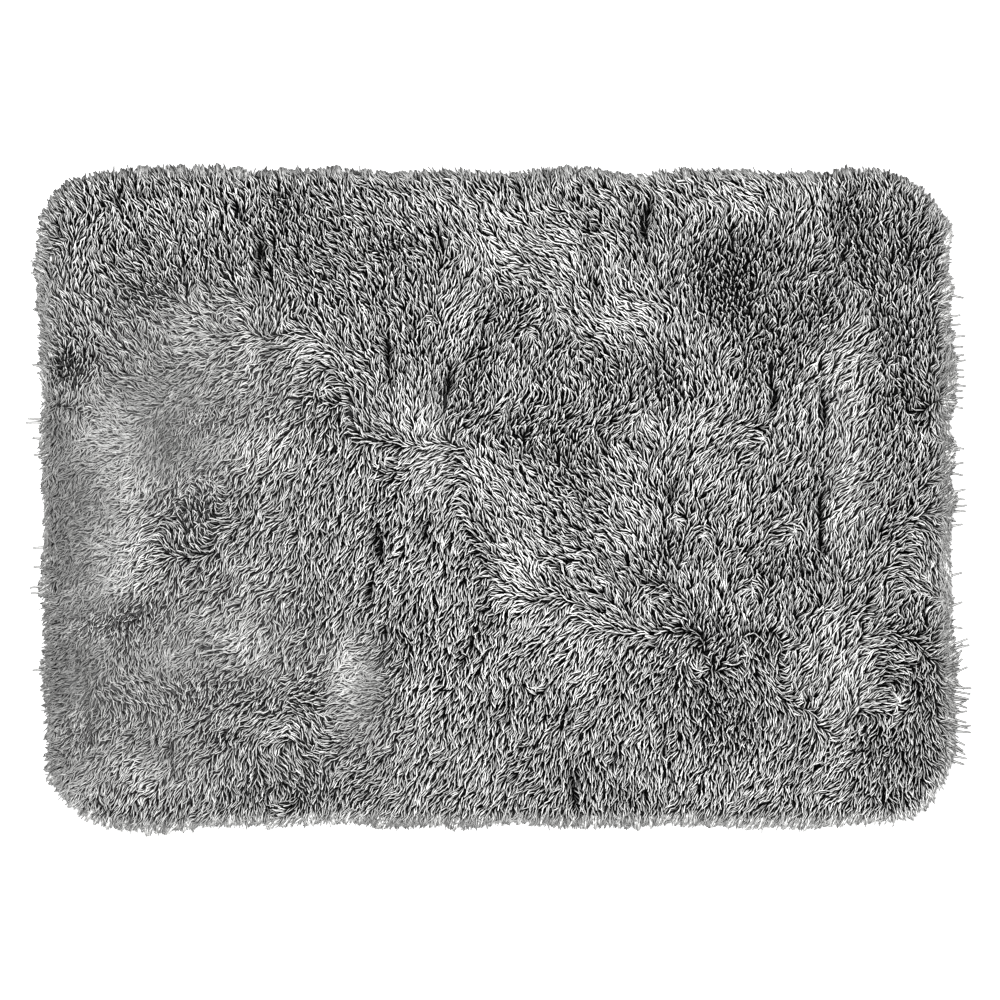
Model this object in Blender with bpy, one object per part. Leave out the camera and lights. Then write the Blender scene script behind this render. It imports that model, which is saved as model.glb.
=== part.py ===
"""Shag rug lying flat: a deep, lumpy pile on its ground cloth, with locks all round the rim.

Metres, +Z up. The long sides run along X and the underside is flat on z = 0. The origin is
the bottom centre of the rug's box, locks included.
"""
import math
import random

import bmesh
import bpy
from mathutils import Vector, noise

# Driving dimensions: the slab of pile, without the locks that stand out of it.
BODY_LENGTH = 1.680         # along X
BODY_WIDTH = 1.206          # along Y
PILE_HEIGHT = 0.033         # mean height of the leaning pile
CORNER_RADII = {            # by the side of the rug in X and in Y
    (-1, 1): 0.105,
    (1, 1): 0.140,
    (-1, -1): 0.125,
    (1, -1): 0.130,
}

# The cage of the top, and the columns of the rim: two for each cell.
CELLS_LONG = 50
CELLS_WIDE = 36
COLUMNS_PER_CELL = 2

# The rim from the top's edge down: how far each ring lies inside the outline, and its height.
TOP_EDGE_INSET = 0.016
RIM_RINGS = (
    # inset, height
    (0.004, 0.0250),
    (0.000, 0.0125),
    (0.003, 0.0000),
)
OUTLINE_WANDER = 0.009      # the pile's edge strays by up to half of this from a straight line
OUTLINE_PITCH = 0.068
WANDER_FADE = 0.10          # the wander dies out this far inside the rim

# Lumps of the pile: their pitch and how much of their height the noise can reach.
LUMPS = (
    # pitch, height
    (0.190, 0.0070),
    (0.080, 0.0080),
)
EDGE_DROP = 0.006           # the pile's top sinks this much at the rim
EDGE_DROP_SPAN = 0.045

# Marks where the rug was folded and where the pile parts. Heading is in degrees from +X.
FOLD_MARKS = (
    # x, y, half_length, heading, half_width, rise
    (-0.212, -0.360, 0.165, 92.0, 0.034, -0.008),
    (-0.110, 0.255, 0.080, 84.0, 0.030, -0.007),
    (0.262, 0.490, 0.080, -72.0, 0.028, -0.007),
    (0.415, 0.360, 0.090, 55.0, 0.036, -0.006),
    (0.650, -0.080, 0.330, 88.0, 0.036, 0.005),
    (0.780, -0.290, 0.090, 80.0, 0.034, -0.006),
    (-0.560, -0.215, 0.100, 4.0, 0.030, -0.007),
    (0.190, -0.010, 0.120, 150.0, 0.040, 0.004),
    (-0.110, 0.480, 0.110, 120.0, 0.040, 0.004),
    (-0.640, 0.060, 0.130, 20.0, 0.060, -0.003),
)
GATHERS = (
    # x, y, radius, rise
    (-0.119, 0.325, 0.030, -0.006),
    (-0.208, 0.073, 0.030, -0.006),
    (0.279, -0.209, 0.034, -0.007),
    (0.385, -0.070, 0.030, -0.006),
    (0.738, -0.373, 0.034, -0.006),
    (0.301, 0.278, 0.032, -0.005),
    (-0.415, -0.480, 0.036, -0.006),
    (0.757, -0.131, 0.034, -0.006),
)

# Locks of pile at the rim. Each grows out of one face of the rim's wall.
LOCK_REACH = 0.015          # mean reach past the wall
LOCK_REACH_SPREAD = 0.006
LOCK_SWAY = 0.0026          # how far a tip strays along the rim
LOWER_TIER_COLUMNS = (0, 2)     # of each run of columns, those with a lock on the floor
UPPER_TIER_COLUMNS = (1, 3)     # and those with a lock on the upper wall
COLUMN_RUN = 5
UPPER_LOCK_DROP = 0.0085    # how far the tip of an upper lock hangs below its root
LOCK_STAGES = (
    # share of the reach, of the root's width, of the root's height, of the drop
    (0.55, 0.74, 0.74, 0.34),
    (1.00, 0.30, 0.40, 1.00),
)
LONG_TUFTS = (
    # x_side, y_side, at, half_span, more_reach: where the pile spills out further
    (-1, 0, 0.414, 0.030, 0.021),
    (-1, 0, 0.150, 0.026, 0.009),
    (-1, 0, -0.110, 0.050, 0.007),
    (-1, 0, -0.317, 0.030, 0.010),
    (1, 0, 0.400, 0.060, 0.008),
    (1, 0, 0.060, 0.050, 0.006),
    (1, 0, -0.250, 0.040, 0.009),
    (1, 0, -0.400, 0.048, 0.022),
    (0, 1, -0.515, 0.040, 0.008),
    (0, 1, -0.190, 0.030, 0.005),
    (0, 1, 0.130, 0.040, 0.005),
    (0, 1, 0.660, 0.050, 0.006),
    (0, -1, -0.660, 0.045, 0.010),
    (0, -1, -0.300, 0.040, 0.005),
    (0, -1, 0.250, 0.060, 0.004),
)
SAME_SIDE = 0.7             # least cosine between a tuft's side and the wall behind a lock
SEED = 7

# Material
PILE_COLOUR = (0.43, 0.43, 0.42, 1.0)
PILE_ROUGHNESS = 0.95


def side_of(value):
    """Which side of the middle a coordinate lies on."""
    return 1 if value >= 0.0 else -1


def corner_offset(x, y):
    """The corner's radius, and where a point lies from that corner's centre, sides folded."""
    radius = CORNER_RADII[(side_of(x), side_of(y))]
    across = abs(x) - (BODY_LENGTH / 2 - radius)
    up = abs(y) - (BODY_WIDTH / 2 - radius)
    return radius, across, up


def depth_inside(x, y):
    """Distance from a point inside the rounded outline to that outline."""
    radius, across, up = corner_offset(x, y)
    if across > 0.0 and up > 0.0:
        return radius - math.hypot(across, up)
    return radius - max(across, up)


def outward_from(x, y):
    """Unit direction, level, that leads straight out of the rim near a point."""
    radius, across, up = corner_offset(x, y)
    if across > 0.0 and up > 0.0:
        return Vector((side_of(x) * across, side_of(y) * up, 0.0)).normalized()
    if across > up:
        return Vector((side_of(x), 0.0, 0.0))
    return Vector((0.0, side_of(y), 0.0))


def round_corner(x, y):
    """Moves a point of a plain rectangle to its place in the one with round corners."""
    radius, across, up = corner_offset(x, y)
    if across <= 0.0 or up <= 0.0:
        return x, y
    shrink = max(across, up) / math.hypot(across, up)
    return (x - side_of(x) * across * (1.0 - shrink),
            y - side_of(y) * up * (1.0 - shrink))


def outline_wander(x, y):
    """Level shift that makes the pile's edge stray in and out, and fades inside the rug."""
    fade = max(0.0, 1.0 - depth_inside(x, y) / WANDER_FADE)
    stray = noise.noise(Vector((x, y, 0.0)) / OUTLINE_PITCH)
    return outward_from(x, y) * (OUTLINE_WANDER * stray * fade)


def fold_marks_rise(x, y):
    """Height that the marks of the folds add at a point: soft troughs and ridges."""
    total = 0.0
    for mark_x, mark_y, half_length, heading, half_width, rise in FOLD_MARKS:
        turn = math.radians(heading)
        along = (x - mark_x) * math.cos(turn) + (y - mark_y) * math.sin(turn)
        aside = (y - mark_y) * math.cos(turn) - (x - mark_x) * math.sin(turn)
        total += rise * math.exp(-(along / half_length) ** 4 - (aside / half_width) ** 2)
    return total


def gathers_rise(x, y):
    """Height that the gathers add at a point: small dimples where the pile parts."""
    total = 0.0
    for gather_x, gather_y, radius, rise in GATHERS:
        away = math.hypot(x - gather_x, y - gather_y)
        total += rise * math.exp(-(away / radius) ** 2)
    return total


def pile_top(x, y):
    """Height of the pile's top at a point."""
    height = PILE_HEIGHT + fold_marks_rise(x, y) + gathers_rise(x, y)
    for pitch, lump in LUMPS:
        height += lump * noise.noise(Vector((x, y, PILE_HEIGHT)) / pitch)
    near_rim = max(0.0, 1.0 - (depth_inside(x, y) - TOP_EDGE_INSET) / EDGE_DROP_SPAN)
    return height - EDGE_DROP * near_rim ** 2


def add_top(bm):
    """The lumpy top, as a grid bent to the outline."""
    bmesh.ops.create_grid(bm, x_segments=CELLS_LONG, y_segments=CELLS_WIDE, size=1.0)
    long_scale = 1.0 - 2.0 * TOP_EDGE_INSET / BODY_LENGTH
    wide_scale = 1.0 - 2.0 * TOP_EDGE_INSET / BODY_WIDTH
    for vert in bm.verts:
        x, y = round_corner(vert.co.x * BODY_LENGTH / 2, vert.co.y * BODY_WIDTH / 2)
        x *= long_scale
        y *= wide_scale
        vert.co = Vector((x, y, pile_top(x, y))) + outline_wander(x, y)


def add_rim(bm):
    """The side wall, drawn down from the top's edge ring by ring; returns its faces by tier."""
    rim = [edge for edge in bm.edges if edge.is_boundary]
    bmesh.ops.subdivide_edges(bm, edges=rim, cuts=COLUMNS_PER_CELL - 1)
    rim = [edge for edge in bm.edges if edge.is_boundary]
    inset_above = TOP_EDGE_INSET
    tiers = []
    for inset, height in RIM_RINGS:
        drawn = bmesh.ops.extrude_edge_only(bm, edges=rim)["geom"]
        for vert in (item for item in drawn if isinstance(item, bmesh.types.BMVert)):
            vert.co += outward_from(vert.co.x, vert.co.y) * (inset_above - inset)
            vert.co.z = height
        tiers.append([item for item in drawn if isinstance(item, bmesh.types.BMFace)])
        rim = [item for item in drawn if isinstance(item, bmesh.types.BMEdge) and item.is_boundary]
        inset_above = inset
    bmesh.ops.contextual_create(bm, geom=rim)
    return tiers


def around_the_rim(face):
    """Sort key that runs once round the rug."""
    centre = face.calc_center_median()
    return math.atan2(centre.y / BODY_WIDTH, centre.x / BODY_LENGTH)


def more_reach(point, outward):
    """How much further the locks reach where the pile spills out."""
    total = 0.0
    for x_side, y_side, at, half_span, reach in LONG_TUFTS:
        if outward.x * x_side + outward.y * y_side > SAME_SIDE:
            place = point.y if x_side else point.x
            total += reach * math.exp(-((place - at) / half_span) ** 2)
    return total


def grow_lock(bm, root, reach, sway, drop):
    """Draws one face of the wall out into a tapering four-sided lock."""
    centre = root.calc_center_median()
    outward = outward_from(centre.x, centre.y)
    along = Vector((-outward.y, outward.x, 0.0))
    bottom = min(vert.co.z for vert in root.verts)
    face = root
    corners = [vert.co.copy() for vert in root.verts]
    for reach_share, width_share, height_share, drop_share in LOCK_STAGES:
        face = bmesh.ops.extrude_discrete_faces(bm, faces=[face])["faces"][0]
        shift = outward * (reach * reach_share) + along * (sway * reach_share)
        for vert, corner in zip(face.verts, corners):
            aside = (corner - centre).dot(along)
            vert.co.x = centre.x + shift.x + along.x * aside * width_share
            vert.co.y = centre.y + shift.y + along.y * aside * width_share
            vert.co.z = bottom - drop * drop_share + (corner.z - bottom) * height_share


def add_locks(bm, upper_tier, lower_tier):
    """Locks on both tiers of the wall: the lower ones lie level on the floor."""
    draw = random.Random(SEED)
    upper = sorted(upper_tier, key=around_the_rim)
    lower = sorted(lower_tier, key=around_the_rim)
    for column, faces in enumerate(zip(upper, lower)):
        place = column % COLUMN_RUN
        reach = LOCK_REACH + LOCK_REACH_SPREAD * draw.uniform(-1.0, 1.0)
        sway = LOCK_SWAY * draw.uniform(-1.0, 1.0)
        if place in UPPER_TIER_COLUMNS:
            root, drop = faces[0], UPPER_LOCK_DROP
        elif place in LOWER_TIER_COLUMNS:
            root, drop = faces[1], 0.0
        else:
            continue
        centre = root.calc_center_median()
        reach += more_reach(centre, outward_from(centre.x, centre.y))
        grow_lock(bm, root, reach, sway, drop)


def centre_on_box(bm):
    """Puts the middle of the rug's box over the origin, with its underside on z = 0."""
    xs = [vert.co.x for vert in bm.verts]
    ys = [vert.co.y for vert in bm.verts]
    middle = Vector(((min(xs) + max(xs)) / 2, (min(ys) + max(ys)) / 2, 0.0))
    bmesh.ops.translate(bm, verts=bm.verts, vec=-middle)


def pile_material():
    """Matt grey yarn."""
    material = bpy.data.materials.new("grey_pile")
    material.use_nodes = True
    shader = material.node_tree.nodes["Principled BSDF"]
    shader.inputs["Base Color"].default_value = PILE_COLOUR
    shader.inputs["Roughness"].default_value = PILE_ROUGHNESS
    shader.inputs["Metallic"].default_value = 0.0
    return material


def make_rug():
    """The rug: one fabric, and so one solid."""
    bm = bmesh.new()
    add_top(bm)
    tiers = add_rim(bm)
    add_locks(bm, upper_tier=tiers[1], lower_tier=tiers[2])
    centre_on_box(bm)
    bmesh.ops.recalc_face_normals(bm, faces=bm.faces)
    mesh = bpy.data.meshes.new("shag_pile")
    bm.to_mesh(mesh)
    bm.free()
    mesh.materials.append(pile_material())
    mesh.shade_smooth()
    return bpy.data.objects.new("shag_pile", mesh)


def main():
    """Empties the file's scene and builds the rug in its own collection."""
    for old in list(bpy.data.objects):
        bpy.data.objects.remove(old, do_unlink=True)
    rug = bpy.data.collections.new("shag_rug")
    bpy.context.scene.collection.children.link(rug)
    rug.objects.link(make_rug())


main()
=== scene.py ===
"""Looks of the shag rug: its woven ground cloth, the dense foot of the pile and tens of thousands
of leaning strands of yarn, laid by a chart of how the pile lies.

Charts are read in centimetres from the rug's middle, x to the right and y away from the viewer,
with headings in degrees from +x towards +y. Reaches and lengths at the rim are charted in
millimetres, and painted shades are given as depths in millimetres. Everything else is in metres.
"""
import math
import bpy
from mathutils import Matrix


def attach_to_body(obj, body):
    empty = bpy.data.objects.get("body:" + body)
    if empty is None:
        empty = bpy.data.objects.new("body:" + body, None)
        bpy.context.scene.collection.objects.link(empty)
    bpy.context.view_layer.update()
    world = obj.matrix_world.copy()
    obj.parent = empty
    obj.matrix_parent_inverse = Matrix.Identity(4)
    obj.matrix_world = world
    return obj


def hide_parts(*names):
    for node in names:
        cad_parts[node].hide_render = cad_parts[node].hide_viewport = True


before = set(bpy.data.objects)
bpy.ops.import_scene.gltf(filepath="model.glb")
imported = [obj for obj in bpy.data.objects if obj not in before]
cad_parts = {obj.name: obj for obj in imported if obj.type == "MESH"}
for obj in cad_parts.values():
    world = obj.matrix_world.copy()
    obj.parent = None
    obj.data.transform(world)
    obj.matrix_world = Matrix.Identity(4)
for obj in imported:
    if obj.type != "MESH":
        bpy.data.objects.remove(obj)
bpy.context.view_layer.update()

from types import SimpleNamespace

import bmesh
import bpy
import numpy as np
from mathutils import Vector
from mathutils.bvhtree import BVHTree

NODE = "shag_pile"
BODY = "root"
CM = 0.01
MM = 0.001
PER_MM = 1000
SEED = 20

# The slab that the pile fills, as in the frame.
HALF_LENGTH = 0.840
HALF_WIDTH = 0.603
CORNER_RADII = {  # by the side of the rug in x and in y
    (-1, 1): 0.105, (1, 1): 0.140, (-1, -1): 0.125, (1, -1): 0.130,
}

# Camera: straight above, far off, framing FRAME_WIDTH of floor.
FRAME_WIDTH = 1.860
CAMERA_HEIGHT = 9.0
CAMERA_SHIFT = (0.0037, -0.0009)
SENSOR = 36.0

LAMP_PLACE = (-0.35, 0.10, 3.6)
LAMP_SIZE = 2.4
LAMP_POWER = 368.0
ROOM_LIGHT = 0.66

# --- The chart of the pile ---

# How the strands lie: for each line across the rug, where the heading is read and what it is.
NAP_LINES = {
    # y: {x: heading, ...}
    58: {-82: 122, -75: 130, -68: 112, -60: 108, -52: 107, -42: 117, -30: 115, -15: 130, 0: 115, 10: 103,
        22: 130, 32: 123, 40: 142, 47: 142, 55: 107, 65: 95, 74: 105, 79: 55},
    50: {-83: 148, -77: 85, -70: 83, -62: 105, -50: 105, -38: 97, -30: 120, -20: 125, -11: 113, 0: 133,
        10: 142, 20: 130, 27: 107, 33: 90, 42: 70, 50: 93, 57: 78, 66: 95, 74: 70, 82: 70},
    42: {-85: 145, -79: 75, -74: 108, -68: 145, -58: 95, -48: 103, -40: 115, -33: 130, -26: 128, -15: 98,
        -5: 80, 2: 150, 10: 140, 18: 105, 25: 110, 33: 77, 43: 98, 53: 66, 60: 62, 68: 120, 75: 98, 81: 72,
        85: 30},
    35: {-84: 130, -78: 112, -70: 125, -63: 142, -54: 145, -48: 130, -41: 62, -35: 120, -29: 112, -22: 100,
        -16: 118, -8: 45, 0: 75, 7: 50, 14: 128, 21: 130, 28: 150, 36: 100, 45: 94, 55: 91, 64: 71, 73: 110,
        79: 78, 84: 25},
    28: {-83: 160, -78: 95, -71: 138, -64: 103, -56: 205, -48: 240, -38: 215, -30: 140, -24: 115, -17: 110,
        -14: 72, -8: 68, 3: 62, 9: 65, 20: 145, 30: 105, 40: 62, 50: 85, 58: 58, 67: 45, 76: 100, 84: 70},
    21: {-84: 105, -79: 55, -71: 150, -64: 160, -56: 225, -49: 218, -42: 238, -34: 196, -27: 133, -22: 96,
        -16: 100, -13: 80, -7: 72, 2: 75, 8: 78, 13: 118, 20: 85, 28: 75, 38: 118, 47: 92, 57: 60, 62: 83,
        67: 50, 75: 100, 80: 115, 85: 45},
    14: {-84: 255, -79: 260, -71: 128, -65: 235, -58: 240, -50: 247, -43: 245, -36: 252, -30: 278, -25: 115,
        -18: 118, -11: 60, -3: 50, 8: 35, 16: 62, 23: 15, 28: 140, 33: 85, 37: 52, 43: 42, 50: 65, 56: 75,
        61: 96, 66: 43, 73: 85, 80: 265, 85: 295},
    7: {-84: 225, -76: 205, -66: 232, -59: 245, -50: 228, -40: 232, -32: 242, -26: 232, -17: 225, -10: 222,
        -3: 130, 2: 125, 9: 115, 18: 108, 23: 145, 30: 68, 37: 58, 46: 53, 52: 52, 58: 62, 62: 85, 67: 58,
        74: 82, 80: 78, 84: 55},
    0: {-84: 270, -76: 232, -68: 205, -61: 250, -54: 95, -46: 242, -38: 240, -32: 262, -26: 236, -19: 262,
        -12: 235, -5: 108, 1: 127, 10: 137, 20: 125, 28: 118, 34: 82, 41: 60, 50: 62, 57: 80, 64: 45,
        71: 83, 77: 75, 85: 62},
    -7: {-83: 262, -76: 192, -67: 240, -58: 90, -50: 230, -42: 238, -33: 262, -26: 238, -20: 243, -13: 258,
        -8: 258, -2: 114, 6: 130, 14: 142, 22: 145, 30: 108, 34: 85, 44: 70, 52: 42, 58: 80, 64: 76, 71: 70,
        76: 30, 80: 285, 84: 268},
    -14: {-84: 225, -74: 216, -65: 222, -58: 255, -50: 230, -41: 232, -33: 262, -26: 243, -18: 244,
        -11: 248, -5: 255, 1: 130, 6: 138, 12: 125, 20: 127, 27: 118, 37: 82, 44: 76, 53: 80, 60: 120,
        67: 48, 72: 62, 77: 305, 81: 300, 84: 270},
    -21: {-84: 215, -74: 240, -64: 255, -54: 220, -46: 225, -38: 255, -31: 242, -24: 246, -17: 254, -9: 260,
        -3: 235, 3: 230, 12: 245, 19: 132, 25: 130, 29: 120, 34: 118, 42: 70, 50: 82, 58: 72, 64: 46,
        70: 45, 76: 120, 82: 60},
    -28: {-84: 222, -77: 240, -68: 258, -59: 222, -52: 190, -45: 235, -37: 242, -29: 254, -23: 170,
        -19: 274, -12: 268, -4: 245, 6: 236, 14: 224, 21: 248, 28: 250, 33: 243, 42: 62, 50: 258, 56: 62,
        62: 48, 69: 35, 73: 320, 84: 45},
    -35: {-84: 200, -78: 215, -69: 322, -63: 330, -55: 235, -47: 215, -40: 230, -32: 210, -24: 172,
        -18: 252, -10: 246, -2: 265, 5: 250, 9: 305, 16: 228, 24: 248, 31: 238, 41: 278, 49: 288, 56: 76,
        62: 68, 68: 57, 73: 0, 79: 255, 85: 335},
    -42: {-84: 230, -76: 238, -67: 233, -58: 235, -50: 238, -42: 228, -35: 112, -27: 208, -21: 240,
        -14: 240, -6: 262, 3: 248, 11: 238, 18: 248, 27: 265, 38: 268, 48: 260, 57: 256, 62: 58, 68: 238,
        74: 247, 80: 282, 85: 335},
    -50: {-83: 212, -76: 225, -66: 232, -58: 238, -51: 254, -42: 290, -36: 310, -28: 222, -20: 243,
        -11: 240, -3: 243, 6: 228, 13: 264, 20: 272, 28: 270, 35: 252, 45: 245, 54: 254, 61: 234, 69: 233,
        75: 268, 81: 288},
    -57: {-77: 232, -68: 242, -58: 238, -50: 260, -42: 214, -33: 245, -22: 232, -12: 240, -2: 242, 8: 245,
        16: 270, 24: 276, 32: 240, 45: 236, 60: 240, 68: 248, 75: 285, 80: 285},
}
NAP_SPREAD = 3.0  # reach of one reading, in centimetres
NAP_WARP = 0.012  # the chart's places stray by this much, so its borders are ragged
NAP_WARP_PITCH = 0.030
NAP_DRIFTS = (
    # stray of the heading in degrees, distance that it varies over
    (9.0, 0.045), (22.0, 0.018), (40.0, 0.008),
)
NOISE_REACH = (1.1, 0.85)  # noise is laid out this far from the middle in x and in y

# Patches where the pile stands up and shows its dark depth (to -3), or lies flat and pale (to 3); besides
# the lean, upright patches get painted shade and flat ones painted light.
PATCHES = {
    # lie: ((x, y, half_x, half_y), ...)
    -3: ((-80, 24, 3, 3), (-40, 55, 2, 2), (43, 43, 6, 7), (76, 45, 4, 3), (-71, -22, 4, 2)),
    -2: ((-66, 38, 4, 3), (-21, 47, 4, 3), (-4, 26, 3, 6), (-20, 7, 2, 5), (21, 23, 3, 4), (8, 12, 6, 4),
        (15, 6, 5, 4), (30, 22, 4, 5), (17, 49, 2, 4), (43, 35, 5, 4), (50, 26, 5, 5), (60, 35, 3, 5),
        (66, 52, 5, 5), (67, 44, 4, 5), (76, 30, 5, 4), (76, 19, 5, 3), (32, -9, 2, 3), (54, -12, 7, 3),
        (31, -18, 2, 3), (39, -25, 5, 4), (49, -28, 2, 3), (46, -44, 2, 4), (-4, -12, 3, 4),
        (-3, -23, 3, 5), (-7, -29, 2, 2), (-34, -35, 3, 4), (-39, -39, 4, 3), (-56, -36, 7, 4),
        (-52, -44, 5, 2), (-78, -43, 4, 4), (-57, -1, 7, 5), (-76, -24, 4, 2), (-65, -20, 4, 2),
        (-38, -54, 9, 3), (76, -24, 5, 4), (75, -33, 6, 4), (70, -45, 4, 4)),
    -1.5: ((40, -35, 5, 5), (40, -43, 4, 5)),
    -1.3: ((-9, 19, 3, 5),),
    -1: ((-76, 26, 5, 4), (-80, 17, 3, 5), (-37, 53, 9, 4), (-42, 48, 4, 4), (-51, 48, 3, 3),
        (-55, 42, 6, 4), (-61, 38, 2, 4), (-34, 41, 5, 5), (-29, 37, 2, 3), (-20, 40, 3, 6),
        (-13, 46, 5, 3), (-23, 37, 2, 5), (-15, 29, 4, 5), (-3, 35, 2, 3), (3, 38, 3, 3), (3, 32, 4, 5),
        (-4, 15, 3, 4), (-31, 15, 7, 5), (-55, 14, 6, 3), (-22, -6, 2, 8), (14, 28, 4, 3), (8, 22, 3, 4),
        (3, 13, 4, 4), (14, 17, 3, 3), (21, 15, 3, 5), (15, -3, 5, 3), (-7, 5, 2, 3), (26, 52, 3, 4),
        (36, 41, 3, 5), (50, 47, 4, 3), (55, 43, 4, 4), (46, 22, 3, 3), (54, 33, 3, 4), (78, 53, 4, 4),
        (61, 45, 2, 3), (72, 36, 3, 4), (73, 24, 4, 3), (73, 12, 4, 6), (48, 11, 2, 3), (56, 0, 5, 4),
        (75, -3, 4, 4), (40, -8, 7, 2), (28, -13, 3, 4), (31, -27, 3, 4), (52, -24, 2, 5), (31, -35, 4, 6),
        (31, -45, 2, 4), (20, -50, 3, 3), (24, -55, 3, 3), (14, -53, 3, 4), (4, -54, 2, 4), (12, -39, 3, 4),
        (7, -35, 3, 3), (0, -38, 3, 3), (5, -46, 3, 3), (-15, -26, 5, 5), (-35, -20, 3, 5),
        (-51, -17, 2, 3), (-46, -36, 4, 3), (-62, -45, 3, 3), (-70, -39, 5, 4), (-55, -9, 4, 5),
        (-64, -26, 5, 3), (-26, -48, 2, 5), (-19, -36, 2, 4), (80, -38, 3, 5), (76, -47, 4, 4),
        (73, -54, 5, 3)),
    -0.8: ((-34, 47, 8, 6), (32, 20, 4, 4)),
    -0.7: ((-74, 46, 10, 8), (-12, 42, 6, 4)),
    -0.6: ((-60, 36, 7, 6), (1, 35, 4, 4), (58, 34, 14, 6), (-54, 14, 5, 12), (-66, -28, 6, 6)),
    -0.5: ((44, -38, 8, 8), (47, -16, 6, 4)),
    -0.4: ((32, 2, 2, 5),),
    0.8: ((64, -1, 3, 4),),
    1: ((-60, 18, 4, 3), (-77, -18, 5, 3), (-55, 27, 4, 3), (-77, 42, 2, 6), (-39, 8, 4, 4), (3, 0, 3, 4),
        (5, 53, 4, 5), (-10, 54, 8, 3), (20, 43, 2, 6), (28, 34, 2, 4), (38, 30, 3, 4), (42, 22, 2, 5),
        (56, 54, 5, 4), (48, 58, 14, 2), (60, 22, 2, 6), (39, 15, 3, 3), (22, -7, 3, 3), (38, 4, 4, 3),
        (54, -6, 4, 2), (43, -18, 4, 2), (8, -24, 8, 4), (17, -26, 3, 5), (-6, -18, 2, 2), (-28, -38, 2, 3),
        (-46, -14, 3, 5), (-53, -22, 5, 2), (-15, -42, 3, 8), (-14, -35, 4, 3), (-5, -50, 5, 5),
        (-15, -54, 4, 4), (-77, -53, 4, 3), (-55, -52, 5, 3), (-68, -49, 7, 2), (28, -43, 2, 4),
        (45, -52, 8, 4), (57, -30, 3, 4), (68, -27, 4, 2), (71, -38, 3, 3), (82, -12, 2, 10),
        (0, -33, 4, 3)),
    2: ((-72, 12, 7, 6), (-68, 3, 5, 4), (-70, -8, 6, 5), (-69, -15, 5, 3), (-57, 34, 4, 5),
        (-46, 29, 2, 8), (-35, 28, 4, 3), (-46, 10, 6, 3), (-13, 6, 3, 6), (-3, 4, 3, 5), (-7, 33, 3, 6),
        (0, 46, 6, 4), (13, 46, 3, 5), (22, 35, 5, 5), (42, 54, 7, 2), (65, 5, 2, 7), (64, -6, 3, 6),
        (27, 14, 2, 2), (23, 6, 4, 2), (26, -3, 3, 4), (3, -18, 3, 3), (15, -34, 3, 4), (-47, -26, 4, 4),
        (-40, -42, 4, 3), (-62, -29, 4, 3), (-66, -54, 3, 3), (62, -41, 3, 4), (62, -49, 2, 5)),
    3: ((-15, 15, 4, 4), (65, 28, 3, 6), (65, 17, 3, 6), (34, 13, 5, 2), (4, -12, 3, 5), (-28, -31, 3, 5),
        (62, -24, 2, 4), (65, -33, 4, 5)),
}

# Where the strands are fine and matted together, so that little dark shows between them; there the strands
# and the foot of the pile get less painted shade.
MATTED = (
    # x, y, half_x, half_y, strength
    (-77, 4, 10, 14, 0.9), (-78, -13, 8, 10, 1.0), (-64, 16, 10, 10, 0.6), (-52, 22, 14, 12, 0.45),
    (-62, 34, 14, 6, 0.3), (-48, -6, 14, 14, 0.2), (-50, -28, 16, 10, 0.5), (-79, -36, 7, 22, 0.9),
    (-26, -35, 5, 9, 0.8), (-64, -30, 8, 12, 0.4), (-62, -47, 8, 8, 0.4), (-58, 5, 8, 8, 0.4),
    (-24, 14, 4, 4, 0.2), (65, 12, 3, 22, 0.2), (64, -38, 3, 8, 0.2), (-84, 0, 3, 50, 0.8),
    (-12, 10, 3, 10, 0.3), (84, 0, 2.2, 48, 1.0), (0, 62, 80, 2, 0.3), (0, -61, 80, 2, 1.0),
    (-40, -50, 30, 8, 0.2),
)

PATCH_FULL = 3  # strength at which a patch has its full effect
LIE_LIMITS = (-1.15, 1.1)
EVEN_LEAN = 0.77  # how far strands lean outside the patches: 0 is upright and 1 is flat
FLAT_LEAN = 0.16  # what the flattest patch adds, and the most upright takes away
UPRIGHT_LEAN = 0.35

# Points where the tips of the locks around run together, like the petals of a star.
GATHERS = (
    # x, y, radius
    (-12.5, 32.5, 2.6), (-21, 7.5, 4.5), (28.5, -19, 5.0), (38, -7, 4.0), (74, -37, 5.0), (77, -29, 3.0),
    (82.5, -19, 3.5), (82.5, 3, 3.5), (6, 30, 3.5), (-32, 20, 3.5), (-41, -56, 3.5), (33, -4, 2.5),
    (55, -6, 3.0), (47, -17, 3.0), (49, 11, 3.5), (37.5, -31, 3.5), (8, -12.5, 2.5), (-50, 34, 3.5),
    (7, -34.5, 3.0), (14, -13, 2.5),
)

# Narrow partings, where the pile opens and sinks, and painted shade darkens it.
PARTINGS = (
    # x, y, half_length, heading, half_width
    (-20.3, 26, 4.5, 95, 0.8), (-9.5, 20, 4.5, 80, 0.7), (-44, 44, 4.5, 85, 1.1), (27.5, 51, 4.0, 80, 1.1),
    (60.3, 17, 4.5, 95, 0.7), (59.8, -4, 8.0, 90, 0.7), (-22, -8, 3.5, 100, 0.9),
    (-23.5, -16, 3.0, 75, 0.7), (-21, -27, 4.5, 85, 0.6), (51, 18, 2.0, 70, 0.9), (32.5, 1.5, 2.5, 60, 1.0),
    (14, -53, 4.0, 95, 0.9), (-76, -36, 5.0, 95, 0.6), (-75.5, -43, 2.5, 90, 0.7),
    (-60.5, -47, 3.5, 95, 0.6), (-13, -5, 2.5, 80, 0.8), (-70, 56, 2.0, 85, 0.6), (-73, 55, 1.6, 85, 0.5),
    (-10.5, 48, 2.5, 105, 0.6), (18.5, 39, 2.5, 110, 0.6), (9, 60, 1.5, 110, 0.7), (4, 57, 2.0, 105, 0.6),
    (-48, 53, 2.5, 110, 0.6), (-65, 47, 2.0, 110, 0.5),
)

# --- The strands ---

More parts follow.
